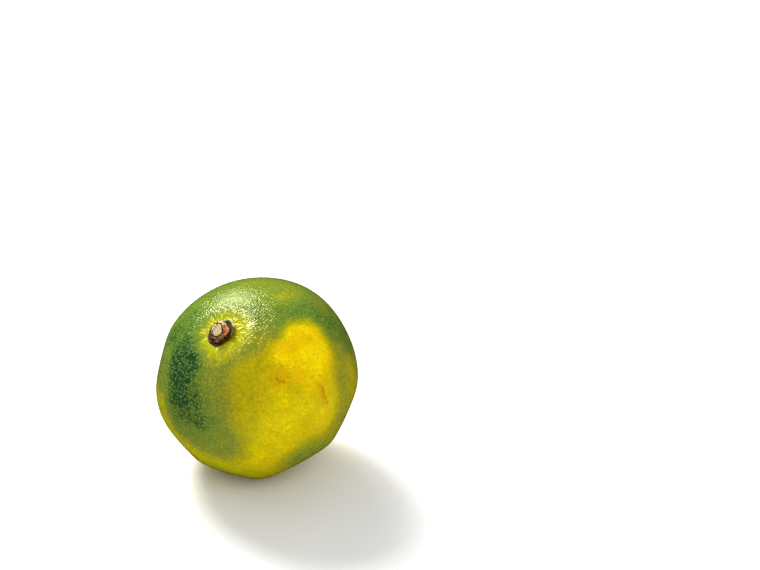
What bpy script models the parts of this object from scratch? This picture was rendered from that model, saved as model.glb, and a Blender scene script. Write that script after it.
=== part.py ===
# A satsuma mandarin, picked with its button: fruit, dry calyx and short cut stem.
# Metres, +Z up. The origin is the middle of the flat spot that the fruit rests on.
# Each piece is modelled in the fruit's own frame, whose +Z runs from the middle of the
# fruit to the stem. An empty there leans that frame over to the resting pose.

import math

import bmesh
import bpy
from mathutils import Matrix, Quaternion, Vector

MM = 0.001

# The whole fruit
EQUATOR_RADIUS = 31.7 * MM
STEM_POLE_RADIUS = 27.6 * MM
STYLAR_POLE_RADIUS = 28.6 * MM  # the stylar end is the one away from the stem
PROFILE_POWER = 2.3  # 2 would be a plain spheroid, more is squarer at the shoulders
SPHERE_SUBDIVISIONS = 5

# The resting pose: where the stem end points, and how much of the underside is flat
STEM_BEARING = -136.6  # degrees from +X towards +Y
STEM_ELEVATION = 57.9
REST_HEIGHT = 30.0 * MM  # from the middle of the fruit down to the flat spot

# Hollows at the two ends: depth, and angle from the axis at which 1/e of it is left
STEM_HOLLOW = (1.2 * MM, 14.0)
STYLAR_HOLLOW = (0.8 * MM, 11.0)

# Broad flats where the peel grew or was packed against something.
# Bearing and elevation as the fruit rests, then the distance from the middle.
FLATS = {
    "lower right": (-46.0, -49.0, 29.8 * MM),
    "right": (-15.0, -23.0, 30.5 * MM),
    "left": (172.0, 12.0, 30.85 * MM),
    "lower left": (-156.0, -33.0, 31.8 * MM),
    "lower front": (-120.0, -54.0, 31.3 * MM),
    "back": (98.0, -6.0, 31.2 * MM),
}
FLAT_EDGE = 0.7 * MM  # how softly a flat runs out into the round
LEAST_FACING = 0.2  # keeps a flat's plane from reaching round the side

# Fuller places: bearing, elevation, rise, and angle at which 1/e of it is left
BULGES = {
    "right shoulder": (34.0, 42.0, 0.8 * MM, 26.0),
    "left cheek": (-158.0, -16.0, 0.4 * MM, 14.0),
    "left heel": (-140.0, -44.0, 0.35 * MM, 12.0),
    "underside": (43.0, -68.0, 1.0 * MM, 25.0),
}

GAP = 0.3 * MM  # between pieces that touch
SHARP_ANGLE = 40.0  # degrees, above which an edge is shaded sharp

# Calyx: a dry star of five broad lobes, with a low collar round the stem
LOBES = 5
LOBE_TURN = 6.0  # degrees from the frame's +X to the first tip
TIP_RADIUS = 4.95 * MM
NOTCH_RADIUS = 4.2 * MM
LOBE_HEIGHT = 0.75 * MM
LOBE_EDGE_POWER = 6  # more is a blunter edge
LOBE_REACH_POWER = 5  # more keeps the star's outline to the outermost rings
COLLAR_RADIUS = 3.05 * MM
COLLAR_WIDTH = 0.45 * MM
COLLAR_RISE = 0.45 * MM
SEAT_RADIUS = 2.65 * MM  # the sunken middle that the stem stands in
SEAT_EDGE = 0.16 * MM
SEAT_HEIGHT = 0.5 * MM
CALYX_SEGMENTS = 45
CALYX_RINGS = 26

# Stem stub: oval, a little wider at the cut top than at the foot
STUB_FOOT_RADIUS = 1.9 * MM
STUB_TOP_RADIUS = 2.25 * MM
STUB_OVAL = 1.1  # length over width is the square of this
STUB_OVAL_TURN = -63.0  # degrees from the frame's +X to the long way
STUB_LENGTH = 1.8 * MM
STUB_LEAN = 3.0  # degrees off the fruit's axis
STUB_LEAN_TOWARDS = -110.0
STUB_BEVEL = 0.15 * MM
STUB_BEVEL_ANGLE = 50.0
STUB_SEGMENTS = 28

# Colour and roughness of each piece
PEEL = ((0.42, 0.43, 0.03), 0.38)
DRY_CALYX = ((0.18, 0.12, 0.04), 0.85)
CUT_STEM = ((0.50, 0.40, 0.20), 0.80)


def clear_scene():
    for old in list(bpy.data.objects):
        bpy.data.objects.remove(old, do_unlink=True)


def direction(bearing, elevation):
    """Unit vector for a compass bearing from +X and an elevation, both in degrees."""
    turn, lift = math.radians(bearing), math.radians(elevation)
    return Vector((math.cos(lift) * math.cos(turn), math.cos(lift) * math.sin(turn), math.sin(lift)))


# Turns the fruit's frame into the resting pose
LEAN = direction(STEM_BEARING, STEM_ELEVATION).to_track_quat("Z", "Y")


def in_fruit_frame(bearing, elevation):
    return LEAN.inverted() @ direction(bearing, elevation)


def soft_minimum(a, b, softness):
    """The smaller of two lengths, with a rounded change from one to the other."""
    low = min(a, b)
    spread = math.exp((low - a) / softness) + math.exp((low - b) / softness)
    return low - softness * math.log(spread)


def peel_radius(way):
    """Distance from the middle of the fruit to the peel along the unit vector way."""
    across = math.hypot(way.x, way.y)
    pole = STEM_POLE_RADIUS if way.z > 0.0 else STYLAR_POLE_RADIUS
    radius = (
        (across / EQUATOR_RADIUS) ** PROFILE_POWER + (abs(way.z) / pole) ** PROFILE_POWER
    ) ** (-1 / PROFILE_POWER)

    from_stem = math.degrees(math.acos(max(-1.0, min(1.0, way.z))))
    from_stylar = 180.0 - from_stem
    for angle, (depth, width) in ((from_stem, STEM_HOLLOW), (from_stylar, STYLAR_HOLLOW)):
        radius -= depth * math.exp(-((angle / width) ** 2))

    for bearing, elevation, rise, width in BULGES.values():
        angle = math.degrees(way.angle(in_fruit_frame(bearing, elevation)))
        radius += rise * math.exp(-((angle / width) ** 2))

    for bearing, elevation, distance in FLATS.values():
        facing = max(LEAST_FACING, way.dot(in_fruit_frame(bearing, elevation)))
        radius = soft_minimum(radius, distance / facing, FLAT_EDGE)
    return radius


def peel_height(x, y):
    """Height of the peel over the frame's XY plane near the stem end, found step by step."""
    height = STEM_POLE_RADIUS
    steps = 6
    for _ in range(steps):
        way = Vector((x, y, height)).normalized()
        height = peel_radius(way) * way.z
    return height


def finish(bm, name, collection):
    """Writes the bmesh to a new object, shaded smooth with its sharp edges kept."""
    mesh = bpy.data.meshes.new(name)
    bm.to_mesh(mesh)
    bm.free()
    mesh.shade_smooth()
    mesh.set_sharp_from_angle(angle=math.radians(SHARP_ANGLE))
    made = bpy.data.objects.new(name, mesh)
    collection.objects.link(made)
    return made


def paint(made, name, look):
    colour, roughness = look
    material = bpy.data.materials.new(name)
    material.use_nodes = True
    shader = material.node_tree.nodes["Principled BSDF"]
    shader.inputs["Base Color"].default_value = (*colour, 1.0)
    shader.inputs["Roughness"].default_value = roughness
    shader.inputs["Metallic"].default_value = 0.0
    made.data.materials.append(material)


def make_fruit(collection):
    """Returns the fruit and the middle of its flat spot, in the fruit's frame."""
    bm = bmesh.new()
    bmesh.ops.create_icosphere(bm, subdivisions=SPHERE_SUBDIVISIONS, radius=1.0)
    for vert in bm.verts:
        way = vert.co.normalized()
        vert.co = way * peel_radius(way)

    down = LEAN.inverted() @ Vector((0.0, 0.0, -1.0))
    cut = bmesh.ops.bisect_plane(
        bm,
        geom=bm.verts[:] + bm.edges[:] + bm.faces[:],
        plane_co=down * REST_HEIGHT,
        plane_no=down,
        clear_outer=True,
    )
    rim = [piece for piece in cut["geom_cut"] if isinstance(piece, bmesh.types.BMEdge)]
    spot = bmesh.ops.holes_fill(bm, edges=rim)["faces"][0]
    spot_middle = spot.calc_center_median_weighted()
    bmesh.ops.recalc_face_normals(bm, faces=bm.faces[:])

    fruit = finish(bm, "fruit", collection)
    paint(fruit, "peel", PEEL)
    return fruit, spot_middle


def lobe_radius(turn):
    """Radius of the star's outline."""
    wave = 0.5 + 0.5 * math.cos(LOBES * (turn - math.radians(LOBE_TURN)))
    return NOTCH_RADIUS + (TIP_RADIUS - NOTCH_RADIUS) * wave


def calyx_height(radius, share):
    """Thickness of the calyx at a radius. share is 0 in the middle and 1 at the outline."""
    lobe = LOBE_HEIGHT * math.sqrt(max(0.0, 1.0 - share**LOBE_EDGE_POWER))
    collar = COLLAR_RISE * math.exp(-(((radius - COLLAR_RADIUS) / COLLAR_WIDTH) ** 2))
    sink = 1.0 / (1.0 + math.exp((radius - SEAT_RADIUS) / SEAT_EDGE))
    return lobe + collar - (LOBE_HEIGHT - SEAT_HEIGHT) * sink


def make_calyx(collection):
    """A sphere pressed onto the peel: its lower half is the underside of the star."""
    bm = bmesh.new()
    bmesh.ops.create_uvsphere(bm, u_segments=CALYX_SEGMENTS, v_segments=CALYX_RINGS, radius=1.0)
    for vert in bm.verts:
        # equal steps outwards, so that the collar and the seat get their rings
        share = math.asin(min(1.0, math.hypot(vert.co.x, vert.co.y))) / (math.pi / 2)
        turn = math.atan2(vert.co.y, vert.co.x)
        # the inner rings are round, and only the outer ones take the star's outline
        lobe = lobe_radius(turn) - NOTCH_RADIUS
        radius = share * NOTCH_RADIUS + share**LOBE_REACH_POWER * lobe
        x, y = radius * math.cos(turn), radius * math.sin(turn)
        z = peel_height(x, y) + GAP
        if vert.co.z > 0.0:
            z += calyx_height(radius, share)
        vert.co = Vector((x, y, z))
    bmesh.ops.recalc_face_normals(bm, faces=bm.faces[:])
    calyx = finish(bm, "calyx", collection)
    paint(calyx, "dry_calyx", DRY_CALYX)
    return calyx


def make_stub(collection):
    """A stub of woody stalk, standing in the middle of the calyx."""
    bm = bmesh.new()
    bmesh.ops.create_cone(
        bm,
        cap_ends=True,
        segments=STUB_SEGMENTS,
        radius1=STUB_FOOT_RADIUS,
        radius2=STUB_TOP_RADIUS,
        depth=STUB_LENGTH,
    )
    bmesh.ops.scale(bm, verts=bm.verts[:], vec=(STUB_OVAL, 1 / STUB_OVAL, 1.0))
    turn = Matrix.Rotation(math.radians(STUB_OVAL_TURN), 3, "Z")
    bmesh.ops.rotate(bm, verts=bm.verts[:], cent=(0.0, 0.0, 0.0), matrix=turn)
    bmesh.ops.translate(bm, verts=bm.verts[:], vec=(0.0, 0.0, STUB_LENGTH / 2))
    stub = finish(bm, "stem_stub", collection)

    lean = math.radians(STUB_LEAN)
    # the lean lowers one side of the foot, so the whole stub is lifted by as much
    foot = GAP + STUB_FOOT_RADIUS * STUB_OVAL * math.sin(lean)
    stub.location = (0.0, 0.0, peel_height(0.0, 0.0) + GAP + SEAT_HEIGHT + foot)
    towards = math.radians(STUB_LEAN_TOWARDS)
    stub.rotation_mode = "QUATERNION"
    stub.rotation_quaternion = Quaternion((-math.sin(towards), math.cos(towards), 0.0), lean)
    bevel = stub.modifiers.new("cut edge", "BEVEL")
    bevel.width = STUB_BEVEL
    bevel.segments = 2
    bevel.limit_method = "ANGLE"
    bevel.angle_limit = math.radians(STUB_BEVEL_ANGLE)
    paint(stub, "cut_stem", CUT_STEM)
    return stub


def main():
    clear_scene()
    collection = bpy.data.collections.new("satsuma_mandarin")
    bpy.context.scene.collection.children.link(collection)

    fruit, spot_middle = make_fruit(collection)
    pieces = [fruit, make_calyx(collection), make_stub(collection)]

    middle = bpy.data.objects.new("fruit_middle", None)
    middle.empty_display_size = EQUATOR_RADIUS
    middle.rotation_mode = "QUATERNION"
    middle.rotation_quaternion = LEAN
    middle.location = -(LEAN @ spot_middle)
    collection.objects.link(middle)
    for piece in pieces:
        piece.parent = middle


main()
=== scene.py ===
# %% [markdown]
# # A satsuma mandarin, half green and half yellow
#
# A satsuma that is picked early in the season is sweet long before its peel has
# turned. This one lies on a small flat spot, with its stem end up and a little
# towards us. It has three things to model: the peel, the dry star of sepals that
# held the fruit, and the short end of stem that the clippers left.
#
# The measured solids are the frame for everything here. They give the size and
# the place of each piece, and this lesson gives them their skin.

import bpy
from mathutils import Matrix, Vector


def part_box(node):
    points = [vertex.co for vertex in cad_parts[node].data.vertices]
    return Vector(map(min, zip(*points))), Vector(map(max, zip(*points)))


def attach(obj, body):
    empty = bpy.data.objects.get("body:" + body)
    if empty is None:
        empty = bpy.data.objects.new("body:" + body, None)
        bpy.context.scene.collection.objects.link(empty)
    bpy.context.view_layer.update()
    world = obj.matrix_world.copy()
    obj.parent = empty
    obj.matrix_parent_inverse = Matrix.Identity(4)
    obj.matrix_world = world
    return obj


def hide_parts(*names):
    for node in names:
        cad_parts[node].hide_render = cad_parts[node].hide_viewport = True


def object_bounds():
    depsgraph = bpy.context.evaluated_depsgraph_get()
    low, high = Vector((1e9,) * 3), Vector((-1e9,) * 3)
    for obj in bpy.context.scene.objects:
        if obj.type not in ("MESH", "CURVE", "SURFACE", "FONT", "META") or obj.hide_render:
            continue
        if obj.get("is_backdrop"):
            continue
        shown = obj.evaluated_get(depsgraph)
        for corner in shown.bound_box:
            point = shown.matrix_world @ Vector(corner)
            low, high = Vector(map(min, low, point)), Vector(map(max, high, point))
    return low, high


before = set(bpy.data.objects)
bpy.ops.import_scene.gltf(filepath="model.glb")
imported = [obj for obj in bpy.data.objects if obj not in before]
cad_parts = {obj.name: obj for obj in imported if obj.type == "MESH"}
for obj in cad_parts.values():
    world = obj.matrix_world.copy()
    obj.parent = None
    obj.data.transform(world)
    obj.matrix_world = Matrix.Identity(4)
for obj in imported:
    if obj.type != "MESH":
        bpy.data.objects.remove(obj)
measured_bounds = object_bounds()
print("the measured solids fill", [tuple(corner) for corner in measured_bounds], "in metres")

# %% Bring in the other modules, and name the millimetre
import math

import bmesh
import bpy
import numpy as np
from mathutils import Vector, noise
from mathutils.bvhtree import BVHTree

MM = 0.001

for name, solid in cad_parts.items():
    low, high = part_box(name)
    sides = [round(side / MM, 1) for side in high - low]
    print(f"{name}: {len(solid.data.polygons)} faces, {sides} mm")

# %% [markdown]
# ## Where the stem points
#
# Everything on a mandarin is arranged round its stem axis: the sepals, the glands
# near them, and the way the fruit ripens. The fruit leans, so that axis leans too.
# Its lean could be typed in, but it can also be measured, and then it is right
# even if the solids change. The ring of sepals is wide and flat, so the direction
# in which its corners spread least is the direction that the stem points.
#
# Most shapes are simpler in a frame of the fruit's own, where the stem points
# straight up. Two helpers go between that upright frame and the room.

# %% Find the stem axis from the ring of sepals
def corners_of(mesh):
    """The corners of a mesh, one row each."""
    places = np.empty(len(mesh.vertices) * 3)
    mesh.vertices.foreach_get("co", places)
    return places.reshape(-1, 3)


sepal_corners = corners_of(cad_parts["calyx"].data)
button = Vector(sepal_corners.mean(0))
directions = np.linalg.eigh(np.cov(sepal_corners.T))[1]
stem_axis = Vector(directions[:, 0])
if stem_axis.z < 0:
    stem_axis.negate()

peel_low, peel_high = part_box("fruit")
middle = button + stem_axis * stem_axis.dot((peel_low + peel_high) / 2 - button)
print("stem axis", [round(part, 3) for part in stem_axis])
print("middle", [round(part / MM, 2) for part in middle], "mm")

# %% Go between the room and the fruit's own upright frame
LEAN = np.array(stem_axis.to_track_quat("Z", "Y").to_matrix())


def upright(places):
    """Points of the room, in metres, as millimetres from the fruit's middle, with the stem along +Z."""
    return (np.asarray(places) - np.array(middle)) @ LEAN / MM


def leaning(places):
    """The way back: millimetres in the fruit's upright frame as metres in the room."""
    return np.asarray(places) * MM @ LEAN.T + np.array(middle)


print("upright, the sepals lie", round(upright(button)[2], 2), "mm above the fruit's middle")

# %% [markdown]
# ## The camera comes first
#
# The marks on the peel are painted where the camera sees them, so the camera is
# set up before the peel. It looks down at the fruit by 32 degrees, through a long
# lens from a good arm's length, which keeps the near side from swelling.
#
# The fruit lies left of the middle of the picture and below it. The lens could be
# shifted for that, but every other view would keep the shift. So the camera is
# turned instead, until the fruit's middle shows at its own pixel.

# %% Turn a pixel of the picture into a direction
PICTURE_WIDTH = 760
PICTURE_HEIGHT = 570
LENS = 117.1
FILM_WIDTH = 36.0
FOCAL_PIXELS = LENS / FILM_WIDTH * PICTURE_WIDTH


def pixel_ray(across, down):
    """The direction, in the camera's own frame, in which it sees a pixel of the picture."""
    return Vector((across - PICTURE_WIDTH / 2, PICTURE_HEIGHT / 2 - down, -FOCAL_PIXELS))


print(f"the lens is {FOCAL_PIXELS:.0f} pixels long")

# %% Set up the camera
FRUIT_ACROSS = 256.5
FRUIT_DOWN = 378.0
CAMERA_DISTANCE = 780 * MM
LOOKING_DOWN = math.radians(32)


def turn_to(camera, target, seen):
    """Turn a level camera until it sees the target along its own direction seen."""
    sight = target - camera.location
    rise = math.asin(sight.normalized().z * seen.length / math.hypot(seen.y, seen.z))
    tilt = math.atan2(seen.y, -seen.z) - rise
    camera.rotation_euler = (math.pi / 2 - tilt, 0, 0)
    level = seen.copy()
    level.rotate(camera.rotation_euler)
    camera.rotation_euler.z = math.atan2(sight.y, sight.x) - math.atan2(level.y, level.x)


camera_data = bpy.data.cameras.new("camera")
camera_data.lens = LENS
camera_data.sensor_width = FILM_WIDTH
camera = bpy.data.objects.new("camera", camera_data)
bpy.context.scene.collection.objects.link(camera)
bpy.context.scene.camera = camera
camera.location = middle + CAMERA_DISTANCE * Vector((0, -math.cos(LOOKING_DOWN), math.sin(LOOKING_DOWN)))
turn_to(camera, middle, pixel_ray(FRUIT_ACROSS, FRUIT_DOWN))
print("camera turned by", [round(math.degrees(angle), 2) for angle in camera.rotation_euler], "degrees")

# %% [markdown]
# ## The body of the peel
#
# A mandarin's peel is one closed skin. A ball made of rings and meridians would
# crowd its corners at two poles and show it in every fine bump. Six grids on the
# faces of a cube, blown up to a ball, keep their squares nearly alike all over.
# The grid's lines are spread by a tangent first, or they would crowd at the cube's
# corners instead.

# %% Make an even grid all over a ball
GRID_SQUARES = 128


def even_ball(squares):
    """The mesh of a cube with so many squares along a side, and its corners' places on a ball of radius 1."""
    made = bmesh.new()
    bmesh.ops.create_cube(made, size=2.0)
    bmesh.ops.subdivide_edges(made, edges=made.edges[:], cuts=squares - 1, use_grid_fill=True)
    mesh = bpy.data.meshes.new("peel")
    made.to_mesh(mesh)
    made.free()
    spread = np.tan(corners_of(mesh) * math.pi / 4)
    return mesh, spread / np.linalg.norm(spread, axis=1)[:, None]


peel_mesh, ways = even_ball(GRID_SQUARES)
ways = ways @ LEAN.T
once_round = math.pi * (peel_high.x - peel_low.x) / MM
print(f"{len(ways)} corners, about {once_round / (4 * GRID_SQUARES):.2f} mm apart")

# %% [markdown]
# The measured solid knows how far the peel is from the middle in every direction.
# It is made of flat facets about two millimetres wide, though, and a glossy skin
# would show every one. A subdivision would round them too, but it would shrink the
# fruit. So the distance is read off in each direction, and then each corner takes
# the mean of its neighbours again and again, until the facets have melted into one
# another. Only the spot that the fruit lies on stays flat.

# %% Read the distances off the measured solid and melt its facets
MELT_ROUNDS = 45

solid_peel = BVHTree.FromObject(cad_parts["fruit"], bpy.context.evaluated_depsgraph_get())
reach = np.array([(solid_peel.ray_cast(middle, Vector(way))[0] - middle).length for way in ways])


def neighbour_mean(mesh):
    """A function that gives each corner of a mesh the mean of a value over its neighbours."""
    ends = np.empty(len(mesh.edges) * 2, int)
    mesh.edges.foreach_get("vertices", ends)
    here, there = np.concatenate((ends.reshape(-1, 2), ends.reshape(-1, 2)[:, ::-1])).T
    count = np.bincount(here)
    return lambda value: np.bincount(here, value[there]) / count


mean_round = neighbour_mean(peel_mesh)


def soften(value, rounds):
    """A value on the peel's corners, moved half way to its neighbours' mean so many times."""
    for _ in range(rounds):
        value = (value + mean_round(value)) / 2
    return value


melted = soften(reach, MELT_ROUNDS)
print(f"melting moved a corner by up to {np.abs(melted - reach).max() / MM:.2f} mm")

# %% Give the grid its places
def lie_flat(places):
    """Lift what lies below the flat spot up to it."""
    places[:, 2] = np.maximum(places[:, 2], peel_low.z)
    return places


body = lie_flat(np.array(middle) + ways * melted[:, None])
peel_mesh.vertices.foreach_set("co", body.ravel())
peel_mesh.update()
peel_surface = BVHTree.FromPolygons(body.tolist(), [tuple(face.vertices) for face in peel_mesh.polygons])
print("peel runs from", (body.min(0) / MM).round(2), "to", (body.max(0) / MM).round(2), "mm")

# %% [markdown]
# ## Where the oil glands lie
#
# The peel is full of oil glands, each a little dome about a millimetre wide. Round
# the sepals the young skin was stretched outwards as the fruit swelled, so there
# the glands are narrow and long, and close to the sepals they lie like rays.
#
# A cell texture can place the glands. To make it draw long ones, it isn't given
# the real place of each corner but a pulled one, where the skin near the stem lies
# further out than it does on the fruit. One gland spacing in this pulled space is
# then short across and long outwards once it is back on the fruit. So each corner
# keeps two places: one with glands that grow longer towards the stem, and one with
# the rays.

# %% Store numbers and places on the corners of a mesh
NUMBER = "FLOAT"
PLACE = "FLOAT_VECTOR"


def store(mesh, name, values):
    """Keep one number or one place for each corner of the mesh, for nodes to read."""
    kind, field = (NUMBER, "value") if values.ndim == 1 else (PLACE, "vector")
    mesh.attributes.new(name, kind, "POINT").data.foreach_set(field, values.astype(np.float32).ravel())
    print(f"{name} on {mesh.name}: from {values.min():.2f} to {values.max():.2f}")


# %% Give each corner its two places, in gland spacings
GLAND_SPACING = 0.90
PULLED_WITHIN = 13.0
GLAND_PULL = 0.5
RAY_START = 5.0
RAYS_ACROSS = 5.5
RAY_PULL = 0.64
CLOSEST = 0.01

local = upright(body)
from_axis = np.maximum(np.hypot(local[:, 0], local[:, 1]), CLOSEST)
near_stem = local[:, 2] > 0
pull = np.where(near_stem, np.maximum(PULLED_WITHIN / from_axis, 1.0) ** GLAND_PULL, 1.0)
ray_pull = RAYS_ACROSS / from_axis * (from_axis / RAY_START) ** (1 - RAY_PULL)
store(peel_mesh, "gland_place", local * np.stack((pull, pull, np.ones_like(pull)), 1) / GLAND_SPACING)
store(peel_mesh, "ray_place", local * np.stack((ray_pull, ray_pull, np.zeros_like(pull)), 1))
print(f"{RAY_START} mm from the stem the rays are {RAY_START / RAYS_ACROSS:.2f} mm apart")

# %% [markdown]
# ## A brush for the peel
#
# The fruit's patches have soft edges that wander, as if laid in with a wet brush.
# They could be painted on an unwrapped picture, but a round fruit unwraps badly.
# Here the brush works on the corners themselves. A stroke is a line through a few
# places on the peel, and it covers each corner by how near the corner is to that
# line. Strokes that show in the picture go through its pixels. Those on the hidden
# side are placed by their bearing and their height round the fruit.

# %% Find places on the peel
ABOVE_ALL = 60


def at_pixel(across, down):
    """The place on the peel that the camera sees at a pixel of the picture."""
    sight = pixel_ray(across, down)
    sight.rotate(camera.rotation_euler)
    place = peel_surface.ray_cast(camera.location, sight.normalized())[0]
    if place is None:
        raise ValueError(f"the camera sees no peel at {across}, {down}")
    return place


def at_bearing(bearing, height):
    """The place on the peel by its bearing from +X and its angle above level, both seen from the middle."""
    turn, rise = math.radians(bearing), math.radians(height)
    way = Vector((math.cos(rise) * math.cos(turn), math.cos(rise) * math.sin(turn), math.sin(rise)))
    return peel_surface.ray_cast(middle, way)[0]


def peel_under(places):
    """The height of the peel under places in the upright frame."""
    hits = [peel_surface.ray_cast(Vector(leaning((x, y, ABOVE_ALL))), -stem_axis)[0] for x, y, _ in places]
    return upright(hits)[:, 2]


seat = peel_under([(0, 0, 0)])[0]
print(f"at the stem the peel is {seat:.2f} mm from the middle")

# %% Make the brush
EDGE_WAVES = ((1.6, 7.0, 3.0), (0.7, 2.6, 11.0))
GENTLE = 0.6
TINY = 1e-12
CRISP = 0.0


def cloud(places, *layers):
    """Smooth noise at places in metres, in layers of a strength, a blob size in millimetres and a seed."""
    total = np.zeros(len(places))
    for strength, size, seed in layers:
        shift = Vector((seed, seed, seed))
        total += strength * np.array([noise.noise(Vector(place) / (size * MM) + shift) for place in places])
    return total


def smooth(value):
    """An S-curve from 0 to 1."""
    value = np.clip(value, 0, 1)
    return value * value * (3 - 2 * value)


edge_wander = cloud(body, *EDGE_WAVES)
gentle_wander = GENTLE * edge_wander


def stroke(places, width, edge, wander=edge_wander):
    """How strongly a stroke through these places covers each corner. Widths are in millimetres."""
    line = np.array([tuple(place) for place in places])
    starts, ends = (line[:-1], line[1:]) if len(line) > 1 else (line, line)
    nearest = np.full(len(body), np.inf)
    for start, end in zip(starts, ends):
        along = end - start
        part = np.clip((body - start) @ along / max(along @ along, TINY), 0, 1)
        nearest = np.minimum(nearest, np.linalg.norm(body - start - part[:, None] * along, axis=1))
    return smooth(1 - (nearest / MM + wander - width / 2) / edge)


def seen_stroke(pixels, width, edge, wander=edge_wander):
    """A stroke through pixels of the picture."""
    return stroke([at_pixel(*pixel) for pixel in pixels], width, edge, wander)


print(f"the edge of a stroke wanders by up to {np.abs(edge_wander).max():.1f} mm")

# %% [markdown]
# ## Green leaves the peel in patches
#
# A young peel is dark green. As the fruit ripens the green fades, first far from
# the stem and on the side that the sun reaches, and the yellow below comes through.
# Between them lie all the olive and ochre tones. A noise texture alone would put
# patches anywhere, and these have their places, so they are painted. One number
# can hold the whole change: how much green is left, from 0 to 1.
#
# It is laid in the way a painter lays in the large shapes: first a ground that is
# greener near the stem, and then soft strokes, each with its width, the width of
# its edge, and the green that it leaves.

# %% Lay in the ground
GREEN_AT_STEM = 0.80
GREEN_AT_TIP = 0.30
HALF_HEIGHT = 28
GROUND_TURN = 0.7

height_on_axis = np.clip(local[:, 2] / HALF_HEIGHT, -1, 1)
towards_stem = smooth((height_on_axis + GROUND_TURN) / (2 * GROUND_TURN))
green = GREEN_AT_TIP + (GREEN_AT_STEM - GREEN_AT_TIP) * towards_stem
print(f"the ground keeps {green.mean():.2f} of the green on average")

# %% Lay in the strokes
SEEN_STROKES = {
    "green shoulder": ([(172, 350), (200, 305), (255, 285), (305, 300), (340, 330)], 12, 11, 0.68),
    # The lighter top is partly the peel's own lime and partly painted light, where the lamp above brightens
    # it.
    "lighter top, partly painted light": ([(240, 285), (262, 283), (284, 287)], 2, 6, 0.59),
    "yellow front": ([(302, 348), (290, 386)], 11, 12, -0.04),
    "yellow front, lower half": ([(288, 402), (280, 425)], 9, 12, 0.15),
    "yellow front, left half": ([(266, 400), (256, 455)], 8, 13, 0.17),
    "yellow right front": ([(326, 385), (322, 418)], 5, 8, 0.17),
    "ochre border": ([(246, 372), (240, 415)], 3, 10, 0.34),
    "olive lower left": ([(208, 424), (220, 444)], 5, 10, 0.64),
    "olive by the ring": ([(258, 335), (277, 330)], 3, 6, 0.58),
    "dark cheek": ([(182, 363), (186, 387)], 5, 10, 1.14),
    "foot of the dark cheek": ([(193, 398), (200, 412)], 2.5, 10, 0.94),
    "upper left shoulder": ([(188, 320), (173, 338)], 2, 8, 0.90),
    "left of the cheek": ([(164, 360), (163, 388)], 3, 6, 0.77),
    "olive beside the cheek": ([(214, 370), (216, 402)], 2, 7, 0.56),
    # The yellow left rim is partly the peel's own yellow and partly painted light, the glow that the pale
    # floor throws up on the lower edge.
    "yellow left rim, partly painted bounce light": ([(160, 402), (171, 431), (191, 451)], 2.5, 7, 0.30),
    "green right side": ([(286, 311), (318, 316), (341, 340)], 4, 8, 0.79),
    "lime smear over the shoulder": ([(278, 299), (296, 293)], 1, 4.5, 0.50),
    "olive right edge": ([(340, 352), (342, 375)], 1, 7, 0.52),
    "ochre right side": ([(350, 365), (352, 392)], 2, 6, 0.38),
    "olive right foot": ([(345, 410), (334, 434)], 2, 6, 0.50),
    "green lower right": ([(298, 460), (320, 448)], 3, 7, 0.56),
    "yellow upper patch": ([(297, 348), (302, 336), (311, 336), (318, 354)], 4, 6, -0.06),
    "ochre foot": ([(206, 458), (228, 467), (258, 475)], 2, 5, 0.28),
}

HIDDEN_STROKES = {
    "green back": ([(60, 32), (95, 26), (130, 35)], 12, 16, 0.70),
    "yellow back": ([(40, -18), (68, -26), (92, -20)], 10, 18, 0.16),
    "dark back cheek": ([(118, 12), (130, -2), (146, -8)], 3, 14, 0.94),
    "olive fringe of the back": ([(112, -32), (150, -30)], 2, 12, 0.42),
    "yellow behind the left rim": ([(184, -18), (196, -38)], 8, 14, 0.34),
    "yellow foot": ([(-60, -75), (60, -70)], 14, 12, 0.28),
}

SOAK_ROUNDS = 60

for find, strokes in ((at_pixel, SEEN_STROKES), (at_bearing, HIDDEN_STROKES)):
    for name, (places, width, edge, left) in strokes.items():
        covered = stroke([find(*place) for place in places], width, edge)
        green += covered * (left - green)
        print(f"{name}: covers {covered.mean():.1%} of the peel")
green = soften(green, SOAK_ROUNDS)

# %% [markdown]
# Close round the sepals the peel is yellow again, in a frayed ring that fades out
# about a centimetre from the stem, and in it the long glands lie like rays. A
# stroke could draw the ring, but it follows the stem axis, so the distance from
# that axis places it more simply. Last, a fine noise mottles the green everywhere.

# %% Paint the yellow ring round the sepals
RING_REACH = 5.6
RING_LOPSIDED = 1.2
RING_WIDE_SIDE = (243, 350)
RING_EDGE = 6.0
RING_GREEN = 0.24
MOTTLES = ((0.07, 4.0, 21.0), (0.04, 1.6, 31.0))


def side_of(pixel):
    """The direction, seen along the stem axis, in which the peel at a pixel lies."""
    sideways = upright(at_pixel(*pixel))[:2]
    return sideways / np.linalg.norm(sideways)


ring_reach = RING_REACH + RING_LOPSIDED * (local[:, :2] @ side_of(RING_WIDE_SIDE)) / from_axis
yellow_ring = np.where(near_stem, smooth(1 - (from_axis + gentle_wander - ring_reach) / RING_EDGE), 0.0)
green += yellow_ring * (RING_GREEN - green)
store(peel_mesh, "green", np.clip(green + cloud(body, *MOTTLES), 0, 1))

# %% Say where the long glands show as rays
RAY_REACH = 7.0
RAY_EDGE = 4.0

rays = np.where(near_stem, smooth(1 - (from_axis + edge_wander - RAY_REACH) / RAY_EDGE), 0.0)
store(peel_mesh, "rays", rays)

# %% [markdown]
# ## A second green
#
# Over the shoulder, along the foot and round the sepals the peel is a fresher,
# limier green than the brownish olive of the front. More tones in the colour ramp
# wouldn't show it, because the two greens have ripened equally far. So a second
# number is painted, which says where the olive turns to lime.

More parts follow.
